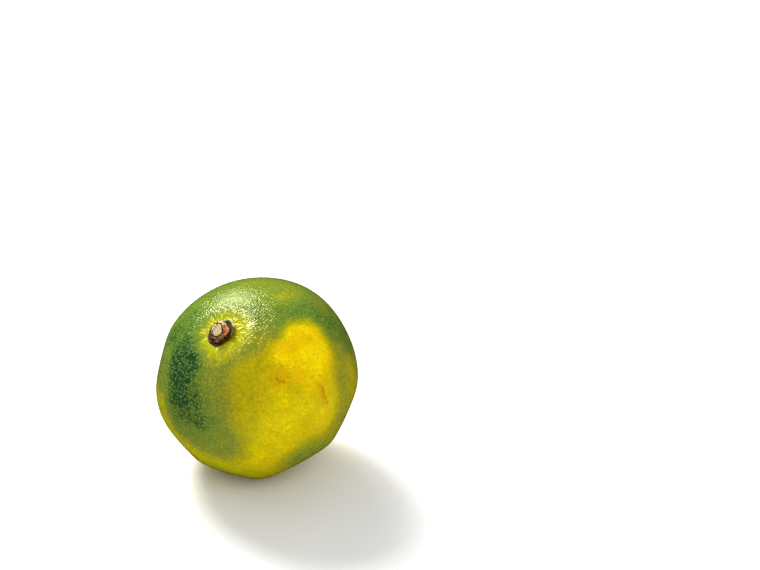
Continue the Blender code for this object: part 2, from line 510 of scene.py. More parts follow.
# %% Paint where the green is limier
LIME = {
    "over the shoulder": ([(186, 322), (212, 294), (255, 284), (290, 291)], 8, 10, 0.8),
    "left rim and foot": ([(160, 402), (171, 431), (191, 451), (228, 467), (258, 475)], 3, 6, 0.7),
    "foot on the right": ([(300, 460), (322, 446)], 3, 6, 0.8),
    "fringe of the yellow patch": ([(282, 326), (302, 315), (325, 326)], 3, 6, 0.8),
    "low on the front": ([(262, 444), (285, 424)], 6, 8, 0.35),
}

lime = rays.copy()
for pixels, width, edge, strength in LIME.values():
    lime = np.maximum(lime, strength * seen_stroke(pixels, width, edge))
store(peel_mesh, "lime", lime)

# %% [markdown]
# ## Small marks
#
# A fruit that grew in the open has a few blemishes: freckles, a scratch from a
# twig, and at the far end the scar where the flower's style fell off. Noise could
# scatter freckles, and the material will do so with the faintest ones. These are
# marks that a buyer would notice, so each is painted in its own place, with the
# same brush, thin and without the wandering edge.

# %% Paint the marks
MARKS = {
    "freckle": ([(276.8, 379)], 0.7, 0.5, 0.7),
    "freckle below": ([(279.2, 382)], 0.7, 0.5, 0.75),
    "freckle to the right": ([(283.8, 381.8)], 0.8, 0.5, 0.85),
    "freckle above": ([(282.3, 366.4)], 0.6, 0.5, 0.6),
    "small freckle": ([(288.4, 377.6)], 0.5, 0.5, 0.5),
    "ruddy bloom round them": ([(278, 379), (284, 379)], 2.0, 3.0, 0.24),
    "ruddy freckle by the ring": ([(271, 334), (274, 334)], 0.4, 1.2, 0.30),
    "scratch": ([(321.8, 386.4), (324.1, 394.5), (327.7, 403.6)], 0.1, 0.6, 0.95),
    "reddened skin round the scratch": ([(319.6, 386), (322, 394), (325.5, 403)], 0.6, 1.6, 0.32),
}
TIP_SCAR = 1.2
TIP_SCAR_EDGE = 0.8

marks = np.zeros(len(body))
for pixels, width, edge, strength in MARKS.values():
    marks = np.maximum(marks, strength * seen_stroke(pixels, width, edge, CRISP))
tip = peel_surface.ray_cast(middle, -stem_axis)[0]
marks = np.maximum(marks, stroke([tip], TIP_SCAR, TIP_SCAR_EDGE, CRISP))
store(peel_mesh, "marks", marks)
print(f"{(marks > 0.1).sum()} corners carry a mark; the scar at the tip lies {tip.z / MM:.1f} mm up")

# %% [markdown]
# ## Nodes without the clicking
#
# Both the bumps and the colours are made by nodes. They could be laid out and
# joined by hand in the editor, but a page of code is easier to read and to repeat.
# One helper adds a node, sets its options and fills its sockets. A value that is
# itself a socket becomes a link, so that a tree reads from top to bottom like a
# recipe.

# %% A helper to add a node
def add(tree, kind, sockets=None, **options):
    """Add a node, set its options, and fill or link its sockets."""
    node = tree.nodes.new(kind)
    for option, value in options.items():
        setattr(node, option, value)
    for socket, value in (sockets or {}).items():
        if isinstance(value, bpy.types.NodeSocket):
            tree.links.new(value, node.inputs[socket])
        else:
            node.inputs[socket].default_value = value
    return node


print("a node and its links now take one line")

# %% Helpers to reckon with sockets
def combine(tree, operation, first, second, third=0.0):
    """The result of a sum, product or other operation on numbers."""
    sockets = {0: first, 1: second, 2: third}
    return add(tree, "ShaderNodeMath", sockets, operation=operation).outputs[0]


def between(tree, value, low, high, to_low=0.0, to_high=1.0):
    """Value on an S-curve from to_low to to_high, as it goes from low to high."""
    sockets = {"Value": value, "From Min": low, "From Max": high, "To Min": to_low, "To Max": to_high}
    return add(tree, "ShaderNodeMapRange", sockets, interpolation_type="SMOOTHSTEP").outputs[0]


def grain_at(tree, place, scale, detail):
    """Noise from 0 to 1 whose grain gets finer with its scale."""
    sockets = {"Vector": place, "Scale": scale, "Detail": detail}
    return add(tree, "ShaderNodeTexNoise", sockets).outputs[0]


def swayed(tree, noise_here, level, strength, base):
    """The base, moved by how far the noise lies above or below its level, times the strength."""
    return combine(tree, "MULTIPLY_ADD", combine(tree, "SUBTRACT", noise_here, level), strength, base)


print("sockets can now be combined, scaled between two values and swayed by a grain")

# %% [markdown]
# ## The glands as domes
#
# A cell texture scatters points and gives the distance to the nearest one and to
# the next. The distance to the nearest point alone would make cones with sharp
# tips. But where both distances are alike there is a groove between two glands,
# and where they differ most is a gland's top. Their difference therefore makes a
# field of domes with no gaps. The same recipe is used twice, once to raise the
# mesh and once in the material, so that each gland's colour sits on its own dome.

# %% The recipe for a field of domes
DOME_FULL = 0.62
GLAND_SCATTER = 0.68
RAY_SCATTER = 0.75


def gland_domes(tree, place, scatter):
    """0 in the grooves between glands and 1 on their tops, and the distance to the nearest gland's middle."""
    cells = {"Vector": place, "Scale": 1.0, "Randomness": scatter}
    nearest = add(tree, "ShaderNodeTexVoronoi", cells, feature="F1").outputs["Distance"]
    second = add(tree, "ShaderNodeTexVoronoi", cells, feature="F2").outputs["Distance"]
    return between(tree, combine(tree, "SUBTRACT", second, nearest), 0.0, DOME_FULL), nearest


def skin_domes(tree, read):
    """The domes of the whole peel, the share of rays in them, and the distance to a gland's middle."""
    share = read(tree, "rays", NUMBER)
    plain, nearest = gland_domes(tree, read(tree, "gland_place", PLACE), GLAND_SCATTER)
    long, _ = gland_domes(tree, read(tree, "ray_place", PLACE), RAY_SCATTER)
    return combine(tree, "MULTIPLY_ADD", combine(tree, "SUBTRACT", long, plain), share, plain), share, nearest


print(f"a dome is full where the two distances differ by {DOME_FULL} gland spacings")

# %% [markdown]
# ## How rough the skin is
#
# The domes aren't equally high all over. Above the stem, on the side that faces
# the light, the skin is puckered and glitters. Under the sepals it lies flat. One
# spot beside the stem is pulled tight and shines, and a patch above it still has
# its bloom, a thin coat of wax that lowers the domes and dulls the gloss. A single
# height would lose all this, so two more numbers are painted: the relief, and
# where the skin is glossier or duller than elsewhere.

# %% Paint the relief and the gloss
RELIEF = 0.65
ROUGH_SIDE = 0.65
ROUGH_REACH = 15.0
ROUGH_EDGE = 6.0
LIT_PIXEL = (246, 305)
RAY_RELIEF = -0.25
SEPALS_COVER = 3.2
SEPALS_COVER_EDGE = 1.2
SMOOTH_SPOT = (250.5, 323)
SPOT_WIDTH = 1.4
SPOT_EDGE = 1.2
SPOT_SMOOTHING = 0.9
BLOOM = [(229, 297), (244, 297)]
BLOOM_WIDTH = 3.0
BLOOM_EDGE = 5.0
BLOOM_SMOOTHING = 0.45
BLOOM_DULLNESS = 1.4

towards_light = smooth(local[:, :2] @ side_of(LIT_PIXEL) / from_axis)
puckered = np.where(near_stem, smooth(1 - (from_axis - ROUGH_REACH) / ROUGH_EDGE), 0.0)
uncovered = np.where(near_stem, smooth((from_axis - SEPALS_COVER) / SEPALS_COVER_EDGE), 1.0)
tight = seen_stroke([SMOOTH_SPOT], SPOT_WIDTH, SPOT_EDGE, CRISP)
bloom = seen_stroke(BLOOM, BLOOM_WIDTH, BLOOM_EDGE, gentle_wander)
relief = RELIEF + ROUGH_SIDE * towards_light * puckered + RAY_RELIEF * rays * (1 - towards_light)
relief *= uncovered * (1 - SPOT_SMOOTHING * tight) * (1 - BLOOM_SMOOTHING * bloom)
store(peel_mesh, "relief", relief)
store(peel_mesh, "gloss", tight - BLOOM_DULLNESS * bloom)

# %% [markdown]
# ## Raising the domes
#
# The domes could be left to the material's bump, but a bump never shows at the
# fruit's outline, and it is lost from the bare mesh. So the corners themselves are
# moved, by the domes and by a broad unevenness under them. Geometry nodes do it
# best, because they have the very same cell texture as the material.

# %% Write the tree that moves the corners
DOME_HEIGHT = 0.07 * MM
LUMP_HEIGHT = 0.16 * MM
LUMP_SIZE = 9.0
LUMP_DETAIL = 2.0
HALF_WAY = 0.5


def named(tree, name, kind=NUMBER):
    """What was stored on the corners under this name, read in geometry nodes."""
    return add(tree, "GeometryNodeInputNamedAttribute", {"Name": name}, data_type=kind).outputs["Attribute"]


def skin_relief():
    """A tree that moves every corner of the peel along its normal."""
    tree = bpy.data.node_groups.new("skin relief", "GeometryNodeTree")
    tree.interface.new_socket("Geometry", in_out="INPUT", socket_type="NodeSocketGeometry")
    tree.interface.new_socket("Geometry", in_out="OUTPUT", socket_type="NodeSocketGeometry")
    start = add(tree, "NodeGroupInput")
    domes = combine(tree, "MULTIPLY", skin_domes(tree, named)[0], named(tree, "relief"))
    lumps = grain_at(tree, named(tree, "gland_place", PLACE), GLAND_SPACING / LUMP_SIZE, LUMP_DETAIL)
    rise = combine(tree, "MULTIPLY", combine(tree, "SUBTRACT", domes, HALF_WAY), DOME_HEIGHT)
    rise = swayed(tree, lumps, HALF_WAY, LUMP_HEIGHT, rise)
    normal = add(tree, "GeometryNodeInputNormal").outputs[0]
    offset = add(tree, "ShaderNodeVectorMath", {0: normal, "Scale": rise}, operation="SCALE").outputs[0]
    moved = add(tree, "GeometryNodeSetPosition", {"Geometry": start.outputs[0], "Offset": offset})
    add(tree, "NodeGroupOutput", {0: moved.outputs[0]})
    return tree


relief_tree = skin_relief()
print(f"the tree that raises the skin has {len(relief_tree.nodes)} nodes")

# %% Raise the domes
def apply_modifiers(piece):
    """Replace a piece's mesh by what its modifiers make of it."""
    depsgraph = bpy.context.evaluated_depsgraph_get()
    made = bpy.data.meshes.new_from_object(piece.evaluated_get(depsgraph), depsgraph=depsgraph)
    piece.modifiers.clear()
    piece.data = made


peel = bpy.data.objects.new("peel", peel_mesh)
bpy.context.scene.collection.objects.link(peel)
peel.modifiers.new("relief", "NODES").node_group = relief_tree
apply_modifiers(peel)
raised = lie_flat(corners_of(peel.data))
peel.data.vertices.foreach_set("co", raised.ravel())
peel.data.shade_smooth()
print(f"corners moved by up to {np.abs(raised - body).max() / MM:.2f} mm")
print("the raised mesh keeps", list(peel.data.attributes.keys()))

# %% [markdown]
# ## The colours of the peel
#
# A ripening peel goes from bottle green over olive and ochre to a warm yellow. The
# tones could be painted one by one, but they always come in that order. So a ramp
# holds them, and the painted number runs through it. A few single tones are laid
# over the ramp: an orange warmth in the yellow, the lime tint, and the colours of
# glands and marks.

# %% Name the colours
def paint(red, green_part, blue):
    """A colour given by its screen values from 0 to 255, as the linear numbers that a shader wants."""
    screen = np.array((red, green_part, blue)) / 255
    linear = np.where(screen <= 0.04045, screen / 12.92, ((screen + 0.055) / 1.055) ** 2.4)
    return (*linear.tolist(), 1.0)


PEEL_TONES = {
    0.00: paint(255, 226, 0),
    0.16: paint(212, 191, 0),
    0.36: paint(170, 158, 12),
    0.56: paint(126, 132, 38),
    0.76: paint(98, 122, 38),
    1.00: paint(28, 68, 34),
}
PEEL_WARM = paint(234, 186, 0)
GLAND_PALE = paint(156, 182, 90)
GLAND_RUST = paint(178, 132, 0)
MARK_BROWN = paint(168, 88, 0)
LIME_TINT = (0.89, 1.07, 1.0, 1.0)
PEEL_SHEEN = (0.95, 1.0, 0.32, 1.0)
print(f"the peel's ramp has {len(PEEL_TONES)} tones")

# %% Helpers for colours
def ramp(tree, value, tones):
    """A colour that follows a number through named tones."""
    node = add(tree, "ShaderNodeValToRGB", {"Fac": value})
    stops = node.color_ramp.elements
    while len(stops) < len(tones):
        stops.new(0.5)
    for stop, (at, tone) in zip(stops, tones.items()):
        stop.position = at
        stop.color = tone
    return node.outputs["Color"]


def blend(tree, share, under, over, kind="MIX"):
    """The colour over laid on the colour under, by a share from 0 to 1."""
    sockets = {0: share, 6: under, 7: over}
    return add(tree, "ShaderNodeMix", sockets, data_type="RGBA", blend_type=kind).outputs[2]


print("colours can now follow a number or be laid over one another")

# %% Helpers for materials
def stored(tree, name, kind=NUMBER):
    """What was stored on the corners under this name, read in a material."""
    output = "Fac" if kind == NUMBER else "Vector"
    return add(tree, "ShaderNodeAttribute", attribute_name=name).outputs[output]


def new_material(name, finish):
    """A material with only a Principled shader, whose plain sockets are set from the finish."""
    material = bpy.data.materials.new(name)
    material.use_nodes = True
    tree = material.node_tree
    tree.nodes.clear()
    shader = add(tree, "ShaderNodeBsdfPrincipled", finish)
    add(tree, "ShaderNodeOutputMaterial", {"Surface": shader.outputs[0]})
    return material, tree, shader


def bump(tree, shader, height, depth):
    """Let the shader see a fine relief of this depth."""
    node = add(tree, "ShaderNodeBump", {"Height": height, "Strength": 1.0, "Distance": depth})
    tree.links.new(node.outputs[0], shader.inputs["Normal"])


print("a material can now read the corners and show a fine relief")

# %% [markdown]
# ## The waxy skin
#
# Each gland is a drop of oil under a thin skin. Where the peel is green the drops
# show paler than what lies between them, and where it is yellow they show a little
# rusty. Two separate materials with a mask could do that, but there are no two
# kinds of peel, only one that ripens. So the number that says how much green is
# left also makes the glands pale or rusty and the yellow warm. The layers come in
# a fixed order: the green that is left, the warmth, the lime tint, and then the
# glands and specks are dotted on top.

# %% Mottle the green and let it fade first at the glands
MOTTLE_SCALE = 0.9
MOTTLE_DETAIL = 3.0
MOTTLING = 0.38
GROOVE_LEVEL = 0.6
GROOVE_GREEN = 0.22
FADING_FROM_TO = (0.26, 0.50)
FADING = -0.11


def ripeness(tree, place, left, domes, dots, rays_here):
    """The green that is left, mottled, greener in the grooves between rays, and faded first at the glands."""
    value = swayed(tree, grain_at(tree, place, MOTTLE_SCALE, MOTTLE_DETAIL), HALF_WAY, MOTTLING, left)
    grooves = combine(tree, "MULTIPLY", combine(tree, "SUBTRACT", GROOVE_LEVEL, domes), rays_here)
    value = combine(tree, "MULTIPLY_ADD", grooves, GROOVE_GREEN, value)
    faded = combine(tree, "MULTIPLY", dots, between(tree, left, *FADING_FROM_TO))
    return combine(tree, "MULTIPLY_ADD", faded, FADING, value)


print(f"mottles are about {GLAND_SPACING / MOTTLE_SCALE:.1f} mm wide")

# %% Warm the yellow in broad drifts
DRIFT_SCALE = 0.16
DRIFT_DETAIL = 4.0
DRIFTS_FROM_TO = (0.40, 0.62)
WARM_FROM_TO = (0.30, 0.06)
WARMTH = 0.75


def warm_share(tree, place, left, rays_here):
    """Broad drifts of orange warmth, only where the peel is yellow and has no rays."""
    drifts = between(tree, grain_at(tree, place, DRIFT_SCALE, DRIFT_DETAIL), *DRIFTS_FROM_TO)
    share = combine(tree, "MULTIPLY", drifts, between(tree, left, *WARM_FROM_TO, 0.0, WARMTH))
    return combine(tree, "MULTIPLY", share, combine(tree, "SUBTRACT", 1.0, rays_here))


print(f"drifts are about {GLAND_SPACING / DRIFT_SCALE:.1f} mm wide")

# %% Add faint specks to the painted marks
SPECK_SCALE = 0.17
SPECK_RIM = 0.055
SPECK_HEART = 0.03
SPECK_STRENGTH = 0.55
MARK_STRENGTH = 0.75


def mark_share(tree, place):
    """The painted marks, and faint specks far apart all over the peel."""
    specks = add(tree, "ShaderNodeTexVoronoi", {"Vector": place, "Scale": SPECK_SCALE}, feature="F1")
    speck = between(tree, specks.outputs["Distance"], SPECK_RIM, SPECK_HEART, 0.0, SPECK_STRENGTH)
    return combine(tree, "MULTIPLY", combine(tree, "MAXIMUM", stored(tree, "marks"), speck), MARK_STRENGTH)


print(f"specks are about {GLAND_SPACING / SPECK_SCALE:.1f} mm apart")

# %% Lay the colours over one another
DOT_RIM = 0.52
DOT_HEART = 0.20
PALE_FROM_TO = (0.28, 0.70)
PALENESS = 0.22
RUST_FROM_TO = (0.42, 0.16)
RUST = 0.27


def peel_colour(tree, place, domes, rays_here, nearest):
    """The colour of the peel, from the ramp up to the marks."""
    left = stored(tree, "green")
    dots = between(tree, nearest, DOT_RIM, DOT_HEART)
    dots = combine(tree, "MULTIPLY_ADD", combine(tree, "SUBTRACT", domes, dots), rays_here, dots)
    colour = ramp(tree, ripeness(tree, place, left, domes, dots, rays_here), PEEL_TONES)
    colour = blend(tree, warm_share(tree, place, left, rays_here), colour, PEEL_WARM)
    colour = blend(tree, stored(tree, "lime"), colour, LIME_TINT, "MULTIPLY")
    pale = combine(tree, "MULTIPLY", dots, between(tree, left, *PALE_FROM_TO, 0.0, PALENESS))
    colour = blend(tree, pale, colour, GLAND_PALE)
    rust = combine(tree, "MULTIPLY", dots, between(tree, left, *RUST_FROM_TO, 0.0, RUST))
    colour = blend(tree, rust, colour, GLAND_RUST)
    return blend(tree, mark_share(tree, place), colour, MARK_BROWN)


print(f"a gland's dot has faded out {DOT_RIM * GLAND_SPACING:.2f} mm from its middle")

# %% Make the peel's material and hand in the peel
SKIN_ROUGHNESS = 0.19
GLOSS = -0.10
PORE_SCALE = 3.5
PORE_DETAIL = 2.0
PORE_SHARE = 0.35
PEEL_FINISH = {
    "IOR": 1.45,
    "Specular Tint": PEEL_SHEEN,
    "Subsurface Weight": 0.08,
    "Subsurface Radius": (1.0, 0.8, 0.2),
    "Subsurface Scale": 1.2 * MM,
}


def peel_material():
    """The waxy skin, with its glands in colour and in relief."""
    material, tree, shader = new_material("waxy_peel", PEEL_FINISH)
    place = stored(tree, "gland_place", PLACE)
    domes, rays_here, nearest = skin_domes(tree, stored)
    tree.links.new(peel_colour(tree, place, domes, rays_here, nearest), shader.inputs["Base Color"])
    pores = grain_at(tree, place, PORE_SCALE, PORE_DETAIL)
    height = combine(tree, "MULTIPLY_ADD", pores, PORE_SHARE, domes)
    bump(tree, shader, combine(tree, "MULTIPLY", height, stored(tree, "relief")), DOME_HEIGHT)
    roughness = combine(tree, "MULTIPLY_ADD", stored(tree, "gloss"), GLOSS, SKIN_ROUGHNESS)
    tree.links.new(roughness, shader.inputs["Roughness"])
    return material


def hand_in(piece, material, node):
    """Give a piece its material and its place in the part."""
    piece.data.materials.clear()
    piece.data.materials.append(material)
    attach(piece, "root")
    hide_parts(node)
    print(f"{piece.name} stands for {node}, in {material.name}")


hand_in(peel, peel_material(), "fruit")

# %% [markdown]
# ## A kit for the small pieces
#
# The pieces at the stem are dry, wavy and irregular. They could be carved out of a
# cylinder, but the edges of a cut would be hard to soften. They are made from
# rings of corners instead, from the middle of the top outwards, over the edge,
# down and back in. Each ring may be any wavy outline, so a lobed sepal, a cut stem
# and a mantle of bark need no other tool. Everything is laid out in the fruit's
# upright frame, in millimetres.

# %% Draw rings of corners
ROUND = 180
turns = np.linspace(0, 2 * math.pi, ROUND, endpoint=False)


def ring(radius, height, centre=(0.0, 0.0)):
    """One ring of corners. The radius and the height may differ from corner to corner."""
    radius, height = np.broadcast_to(radius, ROUND), np.broadcast_to(height, ROUND)
    return np.stack((centre[0] + radius * np.cos(turns), centre[1] + radius * np.sin(turns), height), 1)


def turned_from(bearing):
    """How far each corner of a ring is turned from a bearing, from -180 to 180 degrees."""
    return (np.degrees(turns) - bearing + 180) % 360 - 180


def at_turn(degrees, round_values):
    """The value of a ring at any bearing, from its value at each corner."""
    return np.interp(degrees % 360, np.degrees(turns), round_values, period=360)


def rough(places, *layers):
    """Smooth noise at places given in millimetres."""
    return cloud(np.asarray(places) * MM, *layers)


def ragged(circle, *layers):
    """Smooth noise once round a ring, read off a circle of this radius."""
    return rough(ring(circle, 0.0), *layers)


print(f"a ring has {ROUND} corners, {360 / ROUND:.0f} degrees apart")

# %% Join rings into a closed body
def place_piece(name, places, faces):
    """A smooth piece from corners in the upright frame, which it keeps as places for its material."""
    mesh = bpy.data.meshes.new(name)
    mesh.from_pydata(leaning(places).tolist(), [], faces)
    mesh.shade_smooth()
    store(mesh, "place", places)
    piece = bpy.data.objects.new(name, mesh)
    bpy.context.scene.collection.objects.link(piece)
    print(f"{name}: {len(faces)} faces, z from {places[:, 2].min():.2f} to {places[:, 2].max():.2f} mm")
    return piece


def band(first, second):
    """The faces between two closed rings whose corners start at these numbers."""
    pairs = [(step, (step + 1) % ROUND) for step in range(ROUND)]
    return [(first + here, second + here, second + after, first + after) for here, after in pairs]


def ringed_body(name, rings, hollow=False):
    """A closed body from rings. A hollow one joins its last ring to its first, any other gets two middles."""
    rings = np.array(rings)
    places = rings.reshape(-1, 3)
    starts = [row * ROUND for row in range(len(rings))]
    faces = [face for first, second in zip(starts, starts[1:]) for face in band(first, second)]
    if hollow:
        faces += band(starts[-1], starts[0])
    else:
        top, bottom, last = len(places), len(places) + 1, starts[-1]
        places = np.vstack((places, rings[0].mean(0), rings[-1].mean(0)))
        faces += [(top, step, (step + 1) % ROUND) for step in range(ROUND)]
        faces += [(bottom, last + (step + 1) % ROUND, last + step) for step in range(ROUND)]
    return place_piece(name, places, faces)


print("rings become a piece with ringed_body")

# %% [markdown]
# ## The dry star of sepals
#
# Five sepals once closed round the bud. Now they are dry and brown, and grown
# together in the middle to a collar with five blunt corners. At the back they have
# curled up and show a grey-green inside, and their rim there is painted pale as a
# highlight. In front they are torn into uneven lobes that lie on the peel, dark and
# lumpy. A flat cut-out with a bump would do from afar, but the button faces us, so
# the star gets a real top, edge and underside. Each lobe has a bearing, a reach and
# half a width in degrees.

# %% Draw the star's outline and its collar
SEPALS = {
    "back": (80.5, 5.0, 36),
    "fold between back and right": (45.0, 4.95, 40),
    "right": (8.6, 4.95, 34),
    "front": (-73.5, 4.9, 42),
    "front left": (-103.0, 4.8, 24),
    "left": (-124.7, 4.75, 40),
    "far left": (180.0, 4.7, 44),
}
SEPAL_ROOT = 4.2
LOBE_BLUNT = 0.8
STAR_EDGE = (0.10, 0.8, 5.0)
STAR_CIRCLE = 4
COLLAR_CORNERS = (-45, -122, 179, 108, 36)
COLLAR_SIDE = 2.95
COLLAR_CORNER = 0.32
COLLAR_CORNER_HALF = 30


def blunt_corners(half_width):
    """1 at each of the collar's corners, down to 0 at half a width from it."""
    return sum(np.clip(1 - np.abs(turned_from(bearing)) / half_width, 0, 1) for bearing in COLLAR_CORNERS)


star = np.full(ROUND, SEPAL_ROOT)
for bearing, tip_reach, half_width in SEPALS.values():
    lobe = smooth(1 - np.abs(turned_from(bearing)) / half_width) ** LOBE_BLUNT
    star = np.maximum(star, SEPAL_ROOT + (tip_reach - SEPAL_ROOT) * lobe)
star += ragged(STAR_CIRCLE, STAR_EDGE) - STAR_EDGE[0] / 2
collar = COLLAR_SIDE + COLLAR_CORNER * blunt_corners(COLLAR_CORNER_HALF)
print(f"the star reaches {star.min():.2f} to {star.max():.2f} mm, the collar {collar.max():.2f} mm")

# %% [markdown]
# The collar stands up round the stem, and the lobes run out from it as a thin
# sheet over the peel. Each ring of the star therefore starts from the height of
# the peel below it, and adds the sheet, its lumps and folds, and the curl at the
# back. A cloth simulation could drape such a sheet, but dry sepals are stiff, and
# their curl is easier to set than to wait for.

# %% Shape the sheet of sepals
COLLAR_TOP = 1.35
COLLAR_LIP = 0.15
COLLAR_SLOPE = 0.5
COLLAR_LUMPS = 0.35
SEPAL_THICK = 0.62
SEPAL_EDGE = 0.26
SEPAL_LUMPS = ((0.13, 0.9, 41.0), (0.06, 0.35, 43.0))
SEPAL_FOLDS = (0.07, 0.55, 47.0)
FOLDS_READ_AT = (6.0, 3.0)
CURL_HEIGHT = 1.0
CURL_FROM = 3.3
CURL_WIDTH = 1.3
CURL_BEARING = 70
CURL_SPREAD = 92
CURL_EDGE = 22
CURL_BELOW = 0.9
SUNK = 0.03

curled = smooth((CURL_SPREAD - np.abs(turned_from(CURL_BEARING))) / CURL_EDGE)
folds = rough(ring(*FOLDS_READ_AT), SEPAL_FOLDS)


def sepal_heights(reach_out):
    """The heights of a ring of the star's top and underside, at this reach from the axis."""
    flat = ring(reach_out, 0.0)
    ground = peel_under(flat)
    out = smooth((reach_out - collar + COLLAR_LIP) / COLLAR_SLOPE)
    towards_edge = np.clip((reach_out - collar) / (star - collar), 0, 1)
    lobe = SEPAL_THICK + (SEPAL_EDGE - SEPAL_THICK) * towards_edge
    lumps = (rough(flat, *SEPAL_LUMPS) + folds) * (COLLAR_LUMPS + (1 - COLLAR_LUMPS) * out)
    curl = CURL_HEIGHT * curled * smooth((reach_out - CURL_FROM) / CURL_WIDTH)
    top = ground + COLLAR_TOP + (lobe - COLLAR_TOP) * out + lumps + curl
    return top, ground + CURL_BELOW * curl - SUNK


print(f"the sepals curl up over {(curled > 0.5).mean():.0%} of the way round")

# %% Join the top, the rim and the underside
SEPAL_ROWS = 40
INNER_REACH = 1.9
ROUND_OFF = 0.10
ROUND_FROM = 0.93
RIM_OUT = 0.06

tops, undersides = [], []
for share in np.linspace(0, 1, SEPAL_ROWS):
    reach_out = INNER_REACH + (star - INNER_REACH) * share
    top, underside = sepal_heights(reach_out)
    tops.append(ring(reach_out, top - ROUND_OFF * smooth((share - ROUND_FROM) / (1 - ROUND_FROM))))
    undersides.append(ring(reach_out, underside))
rim = (tops[-1] + undersides[-1]) / 2
rim[:, :2] *= 1 + RIM_OUT / star[:, None]
dry_star = ringed_body("dry_star", tops + [rim] + undersides[::-1])

# %% [markdown]
# Dry sepals are brown, but not evenly: the collar is lighter, with a paler tone
# behind and on the left, and the curled part still shows a grey-green inside. The
# rim at the back is painted pale as a highlight, where it catches the lamp. Noise
# alone can't know these parts, so three numbers on each corner tell the material:
# how much pale tone and painted highlight there is, how much grey-green shows, and
# how light the brown is.

# %% Paint the sepals
RIM_WIDTH = 0.8
RIM_HIGHLIGHT = ((93, 46, 1.0), (180, 60, 0.12))
CREAM_COLLAR = ((108, 22, 0.75), (182, 24, 0.55))
MOSS_INSIDE = ((60, 46, 1.0),)
MOSS_FROM = 0.2
MOSS_EDGE = 0.4
COLLAR_EDGE = 0.3
COLLAR_BROWN = 0.55
RIM_BROWN = 0.25
BROWN_CLOUDS = (0.3, 0.5, 53.0)
SCUFF = ((-70, 14, 0.7),)
SCUFF_EDGE = 8.0
SCUFF_REACH = 3.25
SCUFF_WIDTH = 0.5
SECTOR_EDGE = 12.0

sepal_places = upright(corners_of(dry_star.data))
sepal_turn = np.degrees(np.arctan2(sepal_places[:, 1], sepal_places[:, 0]))
sepal_reach = np.hypot(sepal_places[:, 0], sepal_places[:, 1])


def sectors(parts, edge=SECTOR_EDGE):
    """How much each corner of the star is in sectors, each with a bearing, a half width and a strength."""
    total = np.zeros(len(sepal_turn))
    for bearing, half_width, strength in parts:
        off = np.abs((sepal_turn - bearing + 180) % 360 - 180)
        total += strength * smooth((half_width - off) / edge + HALF_WAY)
    return total


past_collar = sepal_reach - at_turn(sepal_turn, collar)
at_rim = smooth(1 - (at_turn(sepal_turn, star) - sepal_reach) / RIM_WIDTH)
on_collar = smooth((COLLAR_LIP - past_collar) / COLLAR_EDGE)
scuff = sectors(SCUFF, SCUFF_EDGE) * smooth(1 - np.abs(sepal_reach - SCUFF_REACH) / SCUFF_WIDTH)
brown = COLLAR_BROWN * on_collar + RIM_BROWN * at_rim + rough(sepal_places, BROWN_CLOUDS) + scuff
# On the rim at the back the pale tone is a painted highlight; on the collar it is a paler tone of the sepal.
cream_and_rim_highlight = at_rim * sectors(RIM_HIGHLIGHT) + on_collar * sectors(CREAM_COLLAR)
moss = sectors(MOSS_INSIDE) * smooth((past_collar - MOSS_FROM) / MOSS_EDGE)
for name, values in {"cream_and_rim_highlight": cream_and_rim_highlight, "moss": moss, "light_brown": brown}.items():
    store(dry_star.data, name, np.clip(values, 0, 1))

# %% [markdown]
# The grain of a dry sepal is fine and leathery, and it shows in the colour and in
# the relief alike. One noise therefore serves both, so that the dark specks are
# also the hollows. Scanned leather would look as real, but it needs an image.

# %% Make the material of the sepals
SEPAL_TONES = {
    0.0: paint(22, 10, 2),
    0.3: paint(76, 48, 14),
    0.65: paint(146, 106, 50),
    1.0: paint(184, 150, 96),
}
SEPAL_MOSS = paint(104, 100, 56)
SEPAL_CREAM_AND_HIGHLIGHT = paint(232, 222, 170)
SEPAL_FINISH = {"Roughness": 0.7, "Specular IOR Level": 0.12}
SEPAL_GRAIN_SCALE = 2.6
SEPAL_GRAIN_DETAIL = 5.0
SEPAL_GRAIN_LEVEL = 0.48
SEPAL_CONTRAST = 3.0
SEPAL_GRAIN_DEPTH = 0.12 * MM
MOSS_IN_GRAIN = (0.30, 0.60, 0.35, 0.9)
CREAM_AND_HIGHLIGHT_IN_GRAIN = (0.30, 0.55, 0.5, 1.0)


def sepal_material():
    """Dry brown sepal with a leathery grain."""
    material, tree, shader = new_material("dry_sepal", SEPAL_FINISH)
    grain = grain_at(tree, stored(tree, "place", PLACE), SEPAL_GRAIN_SCALE, SEPAL_GRAIN_DETAIL)
    tone = swayed(tree, grain, SEPAL_GRAIN_LEVEL, SEPAL_CONTRAST, stored(tree, "light_brown"))
    moss_here = combine(tree, "MULTIPLY", stored(tree, "moss"), between(tree, grain, *MOSS_IN_GRAIN))
    cream_and_highlight_here = combine(tree, "MULTIPLY", stored(tree, "cream_and_rim_highlight"), between(tree, grain, *CREAM_AND_HIGHLIGHT_IN_GRAIN))
    colour = blend(tree, moss_here, ramp(tree, tone, SEPAL_TONES), SEPAL_MOSS)
    # The pale colour laid on here is a painted highlight on the rim at the back, and a paler tone on the
    # collar.
    colour = blend(tree, cream_and_highlight_here, colour, SEPAL_CREAM_AND_HIGHLIGHT)
    tree.links.new(colour, shader.inputs["Base Color"])
    bump(tree, shader, grain, SEPAL_GRAIN_DEPTH)
    return material


hand_in(dry_star, sepal_material(), "calyx")

# %% [markdown]
# ## The cut stem
#
# The clippers left three millimetres of stem. Its wood is a pale oval with one
# blunter end, cut square across, and the blades left the face a little rough.

